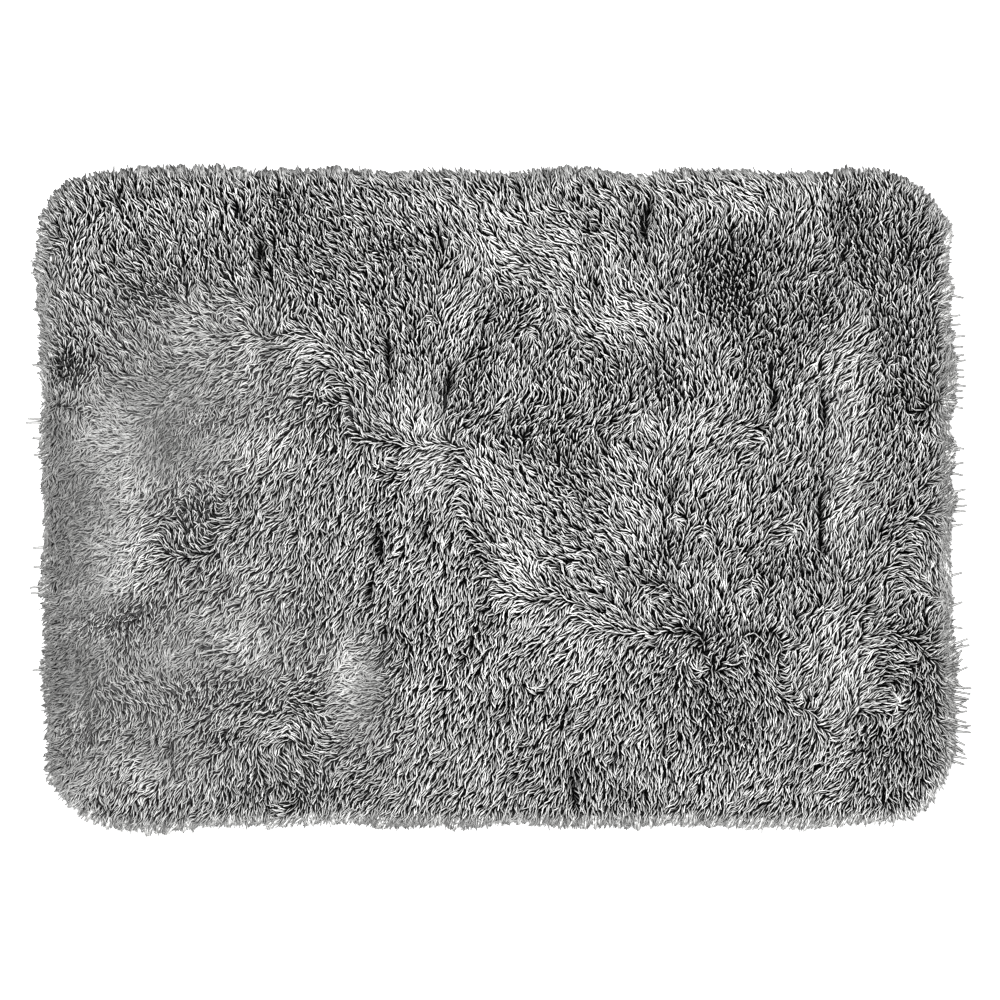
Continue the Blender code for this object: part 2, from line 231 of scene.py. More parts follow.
FIELD_STRANDS = 86000  # those off the outline are left out
UPPER_SHARE = 0.50  # this share is spread evenly on top, and the rest lies deeper
FELT_STRANDS = 34000  # fine short ones: those that fall in a matted patch are kept
FELT_FROM = 0.35  # the least matting that they grow in
JITTER = 0.42  # stray from a place in the grid, in grid steps
STRAND_LENGTH = 0.035
LENGTH_SPREAD = (0.80, 1.15)
STRAND_WIDTH = 0.0036
WIDTH_SPREAD = (0.75, 1.20)
STRAND_PARTS = (
    # share of the length, tilt in degrees at lean 0, what lean 1 adds
    (0.36, 4, 50), (0.32, 10, 70), (0.32, 14, 84),
)
GIRTHS = (0.95, 1.0, 0.80)  # share of the width at knee, bend and tip
# Painted shade, given as how much deeper a place looks: the yarn's colour darkens with it.
SIDE_SHADE = (9.0, 9.0, 8.0)  # how much deeper the sides look there than the ridge
ROOT_SHADE = 10  # and the root than the tip
UPRIGHT_SHADE = (3.6, 0.8)  # and the knee and bend where the pile stands up
UPPER_SUNK = (0.0, 0.0028)  # how deep strands lie at the least, and how much more at random
LOWER_SUNK = (0.0030, 0.0050)
ROOT_DEPTH = 0.015  # the foot's top lies this far below the pile's
TOP_LIMIT = 0.0535  # the field's strands are placed no higher
LOWEST = 0.002  # neither they nor those of rim locks are placed lower
WISP = 0.0075  # size of a wisp, whose strands draw together at their tips
LOCK = 0.023  # size of a lock, made of several wisps
PER_PIECE = 19000  # strands of ten triangles each, so under 200,000 a piece

# Stray of the heading in degrees: the least, what upright pile adds and what matting adds.
LOCK_STRAY = (3, 5, 0)
WISP_STRAY = (4, 7, 0)
STRAND_STRAY = (4, 14, 4)
TIP_STRAY = (5, 8)
LOOSE_LEAN = 0.80  # pile that leans less strays more, up to LOOSE_RANGE less
LOOSE_RANGE = 0.5
MATTED_UNRULY = 0.4
GATHER_DRAW = 0.6  # how strongly gathers, partings and the rim turn strands
PARTING_PUSH = 0.6
RIM_PUSH = 0.25
GATHER_LEAN = 0.80  # the least lean in a gather and at the rim
RIM_LEAN = 0.85

RIM_STRANDS = 3600
OVERHANG = 0.003  # the last strands bend over this far past the rim
RIM_MARGIN = 0.016  # more than the rim stands out anywhere
RIM_FALL = 0.030  # the pile rounds over the rim from this far inside the outline
RIM_END = 0.010  # and hangs straight down this far outside it
RIM_EDGE = 0.012  # shades change this near the outline
# Painted shade on the rim, given as a depth: lighter to +x and darker to +y, as the light falls.
RIM_SHADE = (1.3, -1.3, 1.6)  # how deep the rim looks, and how much more to +x and to +y
RIM_SIDE_SHARE = 0.4  # share of SIDE_SHADE on rim strands
OUTLINE_STEPS = 2400
CHART_RIM = (84, 60)  # x and y of the sides for locks and spikes

# How far the rim stands out of the slab's outline (or in from it, below 0), in millimetres.
RIM_LINES = {
    # side: {place along it: reach, ...}
    "top": {-76: -6, -73: 0, -70: -1, -67: 6, -60: 8, -50: 7, -45: 0, -40: 3, -35: 3, -30: 7, -26: 2,
        -20: -2, -15: -1, -10: 2, -5: 0, 0: -1, 3: -4, 7: 2, 13: 6, 18: 5, 22: -3, 27: -8, 31: -1, 35: 3,
        40: 2, 46: 2, 51: -5, 56: -2, 60: -4, 65: 4, 70: 2, 74: -1},
    "bottom": {-75: -6, -72: 0, -69: 7, -62: 9, -56: 6, -53: -5, -49: -3, -44: -6, -41: 0, -37: -5, -32: -9,
        -27: -10, -23: -1, -19: 1, -14: -2, -11: -5, -8: 3, -3: -2, 1: -6, 4: -8, 8: -3, 14: -1, 20: -3,
        26: -2, 33: -6, 38: -2, 43: -2, 47: 2, 52: -1, 58: 1, 63: -4, 67: -9, 72: -11, 76: -8},
    "left": {54: 2, 51: 7, 47: 9, 42: 12, 38: 9, 35: 9, 31: 6, 26: 5, 22: 3, 18: 1, 14: 4, 10: 5, 6: 2,
        3: 3, 0: -1, -4: -3, -8: 1, -12: 0, -15: 6, -19: -2, -24: -1, -28: -3, -32: 3, -36: -3, -42: -6,
        -46: -7, -50: -5},
    "right": {50: 3, 47: -8, 45: -14, 43: -11, 40: -1, 36: -8, 33: -9, 30: 0, 25: 3, 20: 4, 16: -3, 13: -10,
        10: 5, 7: -1, 3: -5, -1: 7, -4: -4, -8: -6, -12: -5, -17: -3, -22: -2, -26: -1, -30: 8, -33: 5,
        -36: -2, -40: 4, -43: 2, -47: 5, -50: -6},
}
RIM_CORNERS = (
    # x, y, reach
    (-80, 57, 2), (82, 54, -6), (79, 58, -4), (-82, -55, -9), (-80, -57, -12), (-77, -59, -9),
    (82, -55, -8), (79, -58, -6),
)
RIM_SPREAD = 1.8  # reach of one reading, in centimetres

# Locks at the rim that reach further out than their neighbours, besides many small ones.
RIM_LOCKS = {
    # side: {place along it: (half_width, reach), ...}
    "left": {42.5: (1.6, 10), 40.8: (1.0, 10), 52: (1.0, 5), 36: (0.8, 4), 24.5: (0.7, 8), 14.3: (0.7, 14),
        11.5: (0.8, 6), 8.5: (0.8, 5), -10.0: (0.8, 5), -15.5: (1.2, 7), -17.2: (0.8, 8), -30.5: (1.0, 7),
        -35: (0.7, 6), -52: (1.0, 8)},
    "right": {48.5: (1.3, 6), 38.5: (0.9, 8), 30: (0.7, 9), 25.3: (0.8, 10), 22: (1.2, 10), 18: (0.8, 6),
        9.5: (1.2, 6), 6.5: (0.7, 8), 0: (1.6, 6), -6.5: (0.7, 6), -13: (0.7, 6)},
    "top": {-66.5: (0.8, 6), -59: (0.8, 5), -55: (0.6, 10), -52: (0.8, 8), -48: (0.8, 4), -40: (0.8, 4),
        -30: (1.2, 4), -17: (0.6, 4), 7: (0.6, 4), 13: (0.8, 6), 17: (0.8, 6), 29.5: (0.6, 6), 35: (0.8, 5),
        46: (0.6, 4), 58: (0.8, 5)},
    "bottom": {-65: (0.8, 8), -61: (0.8, 7), -42: (0.8, 10), -22: (0.6, 4), -8: (0.6, 4), 26: (0.7, 8),
        47: (0.7, 5), 57: (0.8, 6)},
}
SMALL_LOCKS = 260
SMALL_HALF_WIDTHS = (0.001, 0.006)
SMALL_REACHES = (0.0, 0.006)
LOCK_STRANDS = 5  # to each centimetre of a rim lock's width
LOCK_REACH = 0.009  # their least length past the outline
LOCK_PLACES = (
    # way back from the outline, share of the lock's width, depth below the pile's top
    (0.026, 1.0, 0.012), (0.012, 1.0, 0.002), (0.000, 0.85, 0.001),
)
LOCK_TIP_SHARE = 0.8

# Single stiff strands that stick straight out of the rim.
SPIKES = {
    # side: {place along it: (heading, length), ...}
    "right": {-27.2: (22, 30), -27.8: (12, 31), -28.6: (38, 24), -30.2: (44, 26), -31.0: (52, 24),
        -31.6: (40, 25), -32.6: (24, 30), -33.2: (-38, 28), -34.8: (-4, 34), -35.5: (-10, 33),
        -36.3: (-13, 30), -37.0: (-8, 25), -37.6: (-20, 28), -38.6: (20, 22), -39.8: (8, 26),
        -40.6: (-16, 26), -41.4: (-20, 29), -42.3: (4, 34), -42.9: (-6, 33), -44.2: (-28, 26),
        -45.0: (-36, 24), -45.8: (-30, 27), -47.5: (-12, 26), -48.4: (-18, 22), -23.5: (-12, 18),
        -19.8: (18, 18), -14.2: (15, 17), -5.0: (10, 18), 38.0: (-12, 20), 34.0: (8, 14), 32.4: (5, 14),
        30.2: (4, 23), 28.4: (0, 19), 26.6: (6, 21), 25.4: (10, 24), 24.2: (-4, 20), 22.6: (4, 21),
        21.4: (-6, 24), 20.2: (0, 18), 18.6: (8, 20), 17.4: (-10, 19), 9.8: (-8, 21), 6.4: (10, 20),
        5.0: (-12, 19), 1.2: (14, 24), 0.2: (-4, 22), -1.4: (6, 26), -2.2: (0, 24)},
    "left": {43.2: (158, 26), 41.6: (170, 24), 24.4: (165, 22), 14.4: (182, 32), 14.9: (178, 28),
        11.2: (175, 20), 8.0: (172, 18), -8.8: (185, 19), -12.6: (178, 18), -15.9: (190, 25),
        -17.2: (184, 23), -31.5: (186, 20)},
}
SPIKE_ROOT = 0.012  # how far inside the rim they start
SPIKE_HIDDEN = 0.018  # length that the pile hides
SPIKE_WIDTH = 0.0056
# Painted shade of the spikes at root, bend and tip, given as depths.
SPIKE_SHADE = (4.0, 3.2, 3.0)

# --- The foot of the pile, the cloth and the yarn ---

FOOT_INSET = 0.014
FOOT_RIM = 0.004
FOOT_BOTTOM = 0.0022
CLOTH_THICKNESS = 0.002

# Yarn colour with painted shade, pale at the pile's surface and painted darker with depth below it: 0 is 6
# mm above it and 1 is 14 mm below.
SHADE_DEPTHS = (-6.0, 14.0)
SHADE_GREYS = ((0.30, 0.76), (0.45, 0.50), (0.58, 0.13), (0.70, 0.006))
YARN_SHADE_STOPS = ((0.0, (0.78, 0.78, 0.77)),
              *((place, (grey, grey, grey * 0.985)) for place, grey in SHADE_GREYS),
              (1.0, (0.0008,) * 3))
TONES = (0.15, 1.62)  # what the darkest and the palest strand multiply the colour by


def rim_rows(chart, far_x, far_y):
    """The readings of a chart by the rug's sides, each row with its x and y first."""
    rows = []
    for side, readings in chart.items():
        for place, values in readings.items():
            x, y = {"left": (-far_x, place), "right": (far_x, place),
                    "top": (place, far_y), "bottom": (place, -far_y)}[side]
            rows.append((x, y, *np.atleast_1d(values)))
    return rows


def corner_radii(x, y):
    """Radius of the corner nearest each point."""
    radii = np.empty_like(x)
    for (side_x, side_y), radius in CORNER_RADII.items():
        radii[((x >= 0) == (side_x > 0)) & ((y >= 0) == (side_y > 0))] = radius
    return radii


def rim_shift(x, y):
    """How far the rim stands out near each point."""
    total = np.zeros(len(x))
    weight = np.full(len(x), 1e-6)
    rows = rim_rows(RIM_LINES, HALF_LENGTH / CM, HALF_WIDTH / CM)
    for px, py, reach in rows + list(RIM_CORNERS):
        near = np.exp(-((x / CM - px) ** 2 + (y / CM - py) ** 2) / (2 * RIM_SPREAD ** 2))
        total += near * reach
        weight += near
    return MM * total / weight


def outline_at(x, y):
    """Depth of each point inside the uneven rim, and the level way straight out of it."""
    radii = corner_radii(x, y)
    across = np.abs(x) - (HALF_LENGTH - radii)
    up = np.abs(y) - (HALF_WIDTH - radii)
    corner = (across > 0) & (up > 0)
    depth = np.where(corner, radii - np.hypot(across, up), radii - np.maximum(across, up))
    out_x = np.where(corner, across, (across > up).astype(float)) * np.sign(x)
    out_y = np.where(corner, up, (across <= up).astype(float)) * np.sign(y)
    size = np.maximum(np.hypot(out_x, out_y), 1e-9)
    return depth + rim_shift(x, y), np.stack([out_x / size, out_y / size], axis=1)


def noise_field(draw, pitch):
    """Smooth noise of about -1 to 1 over the rug, as a function of place, from a seeded lattice."""
    half_x, half_y = NOISE_REACH
    nodes_x = int(2 * half_x / pitch) + 4
    nodes_y = int(2 * half_y / pitch) + 4
    lattice = draw.uniform(-1.0, 1.0, (nodes_y, nodes_x))

    def value_at(x, y):
        """The noise at each point."""
        u = np.clip((x + half_x) / pitch, 0, nodes_x - 2.001)
        v = np.clip((y + half_y) / pitch, 0, nodes_y - 2.001)
        i, j = u.astype(int), v.astype(int)
        fu, fv = u - i, v - j
        fu = fu * fu * (3 - 2 * fu)
        fv = fv * fv * (3 - 2 * fv)
        low = lattice[j, i] * (1 - fu) + lattice[j, i + 1] * fu
        high = lattice[j + 1, i] * (1 - fu) + lattice[j + 1, i + 1] * fu
        return low * (1 - fv) + high * fv

    return value_at


def pile_heights(x, y):
    """Height of the frame's solid under a ray from above at each point."""
    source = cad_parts[NODE].data
    tree = BVHTree.FromPolygons([v.co for v in source.vertices],
                                [p.vertices for p in source.polygons])
    down = Vector((0.0, 0.0, -1.0))
    heights = np.zeros_like(x)
    for index, (px, py) in enumerate(zip(x, y)):
        hit = tree.ray_cast(Vector((px, py, 1.0)), down)[0]
        heights[index] = hit.z if hit else 0.0
    return heights


def ahead_of(heading, run):
    """Level vectors of a length towards each heading."""
    return np.stack([np.cos(heading) * run, np.sin(heading) * run], axis=1)


def heading_of(vectors):
    """The heading of each level vector."""
    return np.arctan2(vectors[:, 1], vectors[:, 0])


def nap_at(x, y):
    """The heading of the pile at each point, by the readings around it."""
    lie = np.zeros((len(x), 2))
    for line_y, line in NAP_LINES.items():
        for line_x, degrees in line.items():
            px, py, heading = line_x * CM, line_y * CM, math.radians(degrees)
            near = np.exp(-((x - px) ** 2 + (y - py) ** 2) / (2 * (NAP_SPREAD * CM) ** 2)) + 1e-9
            lie += near[:, None] * (math.cos(heading), math.sin(heading))
    return heading_of(lie)


def patch_sum(patches, x, y):
    """Sum at each point of soft-edged patches of a strength."""
    total = np.zeros(len(x))
    for px, py, half_x, half_y, strength in patches:
        away = ((x / CM - px) / half_x) ** 2 + ((y / CM - py) / half_y) ** 2
        total += strength * np.exp(-0.7 * away ** 1.3)
    return total


def matting_at(x, y):
    """How matted the pile is at each point, from 0 to 1."""
    return np.clip(patch_sum(MATTED, x, y), 0.0, 1.0)


def gather_pull(x, y):
    """The way to the middle of the strongest gather at each point, and that gather's strength."""
    pull = np.zeros((len(x), 2))
    share = np.zeros(len(x))
    for px, py, radius in GATHERS:
        dx, dy = px * CM - x, py * CM - y
        away = np.hypot(dx, dy) + 1e-6
        near = np.exp(-(away / (radius * CM)) ** 3)
        stronger = near > share
        pull[stronger, 0] = (dx / away)[stronger]
        pull[stronger, 1] = (dy / away)[stronger]
        share = np.maximum(share, near)
    return pull, share


def parting_at(x, y):
    """How deep in a parting each point is, from 0 to 1, and the way out of it."""
    depth = np.zeros(len(x))
    aside = np.zeros((len(x), 2))
    for px, py, half_length, heading, half_width in PARTINGS:
        turn = math.radians(heading)
        dx, dy = x - px * CM, y - py * CM
        along = dx * math.cos(turn) + dy * math.sin(turn)
        off = dy * math.cos(turn) - dx * math.sin(turn)
        near = np.exp(-(along / (half_length * CM)) ** 4 - (off / (half_width * CM)) ** 2)
        stronger = near > depth
        way = np.sign(off)[:, None] * np.array((-math.sin(turn), math.cos(turn)))
        aside[stronger] = way[stronger]
        depth = np.maximum(depth, near)
    return depth, aside


def scatter(draw, count):
    """Jittered points over the rug's outline and a little past it, about count of them."""
    half_x, half_y = HALF_LENGTH + RIM_MARGIN, HALF_WIDTH + RIM_MARGIN
    pitch = math.sqrt(4 * half_x * half_y / count)
    columns = int(2 * half_x / pitch)
    rows = int(2 * half_y / pitch)
    gx, gy = np.meshgrid(np.arange(columns) + 0.5, np.arange(rows) + 0.5)
    x = (gx.ravel() + draw.uniform(-JITTER, JITTER, gx.size)) * pitch - half_x
    y = (gy.ravel() + draw.uniform(-JITTER, JITTER, gy.size)) * pitch - half_y
    inside = outline_at(x, y)[0] > -OVERHANG
    return x[inside], y[inside]


def group_ids(draw, x, y, cell):
    """Number of the crooked cell that each point falls in."""
    warp_x = x + 0.5 * cell * noise_field(draw, 1.7 * cell)(x, y)
    warp_y = y + 0.5 * cell * noise_field(draw, 1.7 * cell)(x, y)
    row = np.floor((warp_y + 1.0) / cell).astype(int)
    column = np.floor((warp_x + 1.0) / cell + 0.5 * (row % 2)).astype(int)
    return np.unique(row * 4096 + column, return_inverse=True)[1]


def draw_together(points, groups, share):
    """Moves the points of each group a share of the way to their mean."""
    count = groups.max() + 1
    members = np.bincount(groups, minlength=count)
    mean = np.stack([np.bincount(groups, points[:, axis], count) / members for axis in range(3)],
                    axis=1)
    return points + (mean[groups] - points) * share[:, None]


def ring_around(centre, ahead, radius):
    """Three points around each centre, the first one uppermost."""
    ahead = ahead / np.linalg.norm(ahead, axis=1)[:, None]
    side = np.cross(ahead, (0.0, 0.0, 1.0))
    side[:, 0] += 1e-5
    side /= np.linalg.norm(side, axis=1)[:, None]
    over = np.cross(side, ahead)
    ring = []
    for corner in range(3):
        turn = math.pi / 2 + 2 * math.pi * corner / 3
        reach = math.cos(turn) * side + math.sin(turn) * over
        ring.append(centre + reach * radius[:, None])
    return ring


def add_object(name, data):
    """A new object in the scene."""
    item = bpy.data.objects.new(name, data)
    bpy.context.scene.collection.objects.link(item)
    return item


def sweep_strands(name, path, width, shade):
    """One mesh of three-sided strands, from a point at the root through rings to a blunt tip."""
    count = len(width)
    joints = len(path) - 1
    rings = [path[0]]
    for place in range(1, joints + 1):
        ahead = path[min(place + 1, joints)] - path[place - 1]
        rings += ring_around(path[place], ahead, width / 2 * GIRTHS[place - 1 - joints])
    points = np.stack(rings, axis=1)
    faces = [(0, 2, 1), (0, 3, 2), (0, 1, 3)]
    for place in range(joints - 1):
        for corner in range(3):
            low, following = 1 + 3 * place + corner, 1 + 3 * place + (corner + 1) % 3
            faces.append((low, following, following + 3))
            faces.append((low, following + 3, low + 3))
    faces.append((3 * joints - 2, 3 * joints - 1, 3 * joints))
    size = points.shape[1]
    faces = np.array(faces) + np.arange(count)[:, None, None] * size
    mesh = bpy.data.meshes.new(name)
    mesh.from_pydata(points.reshape(-1, 3), [], faces.reshape(-1, 3))
    mesh.shade_smooth()
    # Painted shade: each place carries how deep it looks, and the sides of a ring look deeper than its
    # ridge.
    below = [shade["below"][:, 0]]
    for place in range(1, joints + 1):
        ridge = shade["below"][:, place]
        side = ridge + SIDE_SHADE[place - 1 - joints] * shade["side"]
        below += [ridge, side, side]
    add_attribute(mesh, "below", np.stack(below, axis=1).ravel())
    add_attribute(mesh, "tone", np.repeat(shade["tone"], size))
    return add_object(name, mesh)


def add_attribute(mesh, label, values):
    """One number for each point of the mesh, which its material reads."""
    layer = mesh.attributes.new(label, "FLOAT", "POINT")
    layer.data.foreach_set("value", values.astype(np.float32))


def rim_fall(x, y):
    """Share of the pile's height that is left at each point, as it rounds over the rim."""
    depth = outline_at(x, y)[0]
    past = np.clip((RIM_FALL - depth) / (RIM_FALL + RIM_END), 0.0, 1.0)
    return np.sqrt(1 - 0.985 * past ** 2.4)


def rim_shade(outward):
    """Painted shade on the rim on each side of the rug, as a depth in millimetres: lighter to +x and darker
    to +y, as the light falls.
    """
    even, to_x, to_y = RIM_SHADE
    return even + outward[:, 0] * to_x + outward[:, 1] * to_y


def rim_locks(draw):
    """Paths, widths and shades of the strands in the locks that reach out over the rim."""
    charted = np.array(rim_rows(RIM_LOCKS, *CHART_RIM))
    small = np.stack(rim_point((np.arange(SMALL_LOCKS) + draw.uniform(-0.45, 0.45, SMALL_LOCKS))
                               / SMALL_LOCKS), axis=1)
    small_sizes = np.stack([draw.uniform(*SMALL_HALF_WIDTHS, SMALL_LOCKS),
                            draw.uniform(*SMALL_REACHES, SMALL_LOCKS)], axis=1)
    places = np.concatenate([charted[:, :2] * CM, small])
    sizes = np.concatenate([charted[:, 2:] * (CM, MM), small_sizes])
    depth, outward = outline_at(*places.T)
    places = places + outward * depth[:, None]
    turn = heading_of(ahead_of(nap_at(*places.T), 1.0) + 0.5 * outward)
    turn = turn + np.radians(8) * draw.normal(0, 1, len(places))

    members = np.maximum(sizes[:, 0] / CM * 2 * LOCK_STRANDS, 1).astype(int)
    lock = np.repeat(np.arange(len(places)), members)
    count = len(lock)
    aside = draw.uniform(-1.0, 1.0, count)
    along = np.stack([-outward[:, 1], outward[:, 0]], axis=1)[lock]
    spread = along * (aside * sizes[lock, 0])[:, None]
    taper = 1 - 0.6 * np.abs(aside)
    reach = LOCK_REACH + sizes[lock, 1] * taper * draw.uniform(0.75, 1.0, count)
    heading = turn[lock]
    middle = places[lock]
    level = []
    for back, share, sink in LOCK_PLACES:
        curl = heading + np.radians(7) * draw.normal(0, 1, count)
        level.append((middle + spread * share - ahead_of(curl, back), sink))
    level.append((middle + spread * LOCK_TIP_SHARE + ahead_of(heading, reach), 0.0))
    inward = places - outward * RIM_FALL
    height = pile_heights(*inward.T)[lock] + draw.uniform(-0.004, 0.0015, count)
    path = [np.column_stack([place, np.maximum((height - sink) * rim_fall(*place.T), LOWEST)])
            for place, sink in level]
    width = STRAND_WIDTH * draw.uniform(0.85, 1.15, count)
    tone = np.clip(0.48 + 0.08 * draw.normal(0, 1, count), 0, 1)
    # Painted shade: each lock is darker at its root, and by which side of the rim it stands on.
    dark = rim_shade(outward)[lock] + draw.uniform(-0.7, 1.3, count)
    below = np.stack([dark + ROOT_SHADE, dark + 1, dark, dark], axis=1)
    return path, width, {"below": below, "tone": tone, "side": np.full(count, RIM_SIDE_SHARE)}


def field_places(draw, wanted, felt):
    """Where strands bend over, and what the charts say there, each as a named array."""
    upper = scatter(draw, wanted * UPPER_SHARE)
    deeper = scatter(draw, wanted * (1 - UPPER_SHARE))
    x, y = np.concatenate([upper, deeper], axis=1)
    lower = np.arange(len(x)) >= len(upper[0])
    if felt:
        kept = patch_sum(MATTED, x, y) > draw.uniform(FELT_FROM, 1.0, len(x))
        x, y, lower = x[kept], y[kept], lower[kept]
    at = SimpleNamespace(x=x, y=y, lower=lower, count=len(x))
    at.depth, at.outward = outline_at(x, y)
    at.rim = np.clip(1 - at.depth / RIM_FALL, 0.0, 1.0)
    at.edge = np.clip(1 - at.depth / RIM_EDGE, 0.0, 1.0)
    patches = [(*row, lie) for lie, rows in PATCHES.items() for row in rows]
    at.lie = np.clip(patch_sum(patches, x, y) / PATCH_FULL, *LIE_LIMITS)
    at.flat = np.clip(at.lie, 0, 1)
    at.upright = np.clip(-at.lie, 0, 1)
    at.matted = matting_at(x, y) * (1 - 0.85 * at.upright)
    at.lean = EVEN_LEAN + np.where(at.lie > 0, FLAT_LEAN, UPRIGHT_LEAN) * at.lie
    at.pull, at.gathered = gather_pull(x, y)
    at.parting, at.aside = parting_at(x, y)
    inward = np.clip(RIM_FALL - at.depth, 0.0, None)[:, None] * at.outward
    at.height = pile_heights(x - inward[:, 0], y - inward[:, 1])
    return at


def comb(draw, at):
    """Gives the strands wisps, locks and headings, and returns how a heading strays by place."""
    drifts = [(math.radians(degrees), noise_field(draw, pitch)) for degrees, pitch in NAP_DRIFTS]
    at.wisps = group_ids(draw, at.x, at.y, WISP)
    at.locks = group_ids(draw, at.x, at.y, LOCK)
    wisp_turn, at.wisp_rise, at.wisp_tone = draw.normal(0.0, 1.0, (3, at.wisps.max() + 1))
    lock_turn = draw.normal(0.0, 1.0, at.locks.max() + 1)
    at.loose = np.clip((LOOSE_LEAN - at.lean) / LOOSE_RANGE, 0.0, 1.0)
    warp_x, warp_y = [NAP_WARP * noise_field(draw, NAP_WARP_PITCH)(at.x, at.y)
                      for axis in range(2)]
    heading = nap_at(at.x + warp_x, at.y + warp_y)
    for (least, more, if_matted), turns in (
            (LOCK_STRAY, lock_turn[at.locks]),
            (WISP_STRAY, wisp_turn[at.wisps]),
            (STRAND_STRAY, draw.normal(0.0, 1.0, at.count))):
        heading += np.radians(least + more * at.loose + if_matted * at.matted) * turns
    gathered = GATHER_DRAW * at.gathered
    lie = ahead_of(heading, 1.0) * (1 - gathered)[:, None] + at.pull * gathered[:, None]
    lie += at.aside * (at.parting * PARTING_PUSH)[:, None]
    lie += at.outward * (at.rim * RIM_PUSH)[:, None]
    at.heading = heading_of(lie)
    unruly = 1 + MATTED_UNRULY * at.matted

    def swerve(place):
        """How far the heading strays at each place."""
        stray = sum(reach * noise(place[:, 0], place[:, 1]) for reach, noise in drifts)
        return stray * unruly

    return swerve


def field_paths(draw, at, swerve):
    """The root, knee, bend and tip of each strand, which goes with how deep they lie."""
    lean = np.clip(at.lean + 0.05 * draw.normal(0, 1, at.count), 0.05, 1.0)
    lean = np.maximum(lean, GATHER_LEAN * at.gathered)
    at.lean = np.maximum(lean, RIM_LEAN * np.clip(at.rim * 1.6, 0, 1))
    tilts = np.radians([least + more * at.lean for share, least, more in STRAND_PARTS])
    shares = np.array([share for share, least, more in STRAND_PARTS])
    length = STRAND_LENGTH * draw.uniform(*LENGTH_SPREAD, at.count) * (1 - 0.10 * at.matted)
    rise = shares @ np.maximum(np.cos(tilts), 0.0)
    length = np.minimum(length, (at.height - 0.004) / rise)
    runs = shares[:, None] * length * np.sin(tilts)
    climbs = shares[:, None] * length * np.cos(tilts)
    runs[2] *= 1 + at.rim * draw.uniform(-0.35, 0.35, at.count)

    bend = np.stack([at.x, at.y], axis=1)
    back = at.heading + swerve(bend - ahead_of(at.heading, runs[1] / 2))
    knee = bend - ahead_of(back, runs[1])
    root = knee - ahead_of(at.heading + swerve(knee), runs[0])
    least, more = TIP_STRAY
    stray = np.radians(least + more * at.loose) * draw.normal(0.0, 1.0, at.count)
    halfway = bend + ahead_of(at.heading, runs[2] / 2)
    tip = bend + ahead_of(at.heading + stray + swerve(halfway), runs[2])

    uneven = (1 - 0.7 * at.matted) * (1 - 0.1 * at.flat)
    least, more = [np.where(at.lower, *pair) for pair in zip(LOWER_SUNK, UPPER_SUNK)]
    sunk = least + more * draw.uniform(0, 1, at.count)
    at.sunk = (sunk - 0.0003 * at.wisp_rise[at.wisps]) * uneven
    level = at.height + 0.003 - at.sunk - 0.004 * at.parting
    top = climbs[0] + climbs[1] + np.maximum(climbs[2], 0)
    rises = [np.zeros(at.count), climbs[0], climbs[0] + climbs[1], climbs.sum(axis=0)]
    at.buried = top[:, None] - np.stack(rises, axis=1)
    path = []
    for place, rise in zip((root, knee, bend, tip), rises):
        z = np.clip(level - top + rise, 0.003, TOP_LIMIT) * rim_fall(place[:, 0], place[:, 1])
        path.append(np.column_stack([place, np.maximum(z, LOWEST)]))
    path[2] = draw_together(path[2], at.wisps, np.full(at.count, 0.05))
    path[3] = draw_together(path[3], at.wisps, np.clip(draw.normal(0.14, 0.10, at.count), 0, 0.9))
    path[3] = draw_together(path[3], at.locks, np.full(at.count, 0.02))
    return path


def field_shade(draw, at):
    """Painted shade of each place of a strand, as how deep it looks, its tone, and how much of SIDE_SHADE
    it has.
    """
    # Painted shade: deeper strands, partings, the root end and upright pile are painted darker, the rim by
    # its side, and matted pile less.
    dark = (PER_MM * at.sunk + 3.0 * at.parting) * (1 - 0.5 * at.edge)
    fall = rim_shade(at.outward) * at.edge
    knee = dark + 3.4 - 1.5 * at.lean
    below = np.stack([dark + ROOT_SHADE, knee, dark + fall, dark + fall], axis=1)
    below += PER_MM * at.buried * 0.25
    below[:, 1:3] += np.outer(at.upright, UPRIGHT_SHADE)
    below *= (1 - 0.62 * at.matted)[:, None]
    tone = 0.54 + (0.10 - 0.08 * at.matted) * draw.normal(0, 1, at.count)
    tone = tone + 0.025 * at.wisp_tone[at.wisps]
    tone -= (0.47 - 0.05 * np.clip(at.lie / 0.7, 0, 1)) * at.matted ** 0.65
    # Painted light on flat pile, and a little painted shade on upright pile.
    tone += 0.14 * at.flat - 0.03 * at.upright
    side = (1 - 0.68 * at.matted) * (1 - 0.45 * at.edge) * (1 - 0.10 * at.flat)
    return {"below": below, "tone": np.clip(tone, 0, 1), "side": side}


def field_strands(draw, wanted, felt=False):
    """Paths, widths and shades of the strands of the top and the rim, or of the felt on it."""
    at = field_places(draw, wanted, felt)
    path = field_paths(draw, at, comb(draw, at))
    shade = field_shade(draw, at)
    width = STRAND_WIDTH * draw.uniform(*WIDTH_SPREAD, at.count) * (1 - 0.32 * at.matted)
    below = shade["below"]
    if not felt:
        path[1] = (path[0] + path[1]) / 2
        below[:, 1] = below[:, 0]
    return path[1:], width, {**shade, "below": below[:, 1:]}


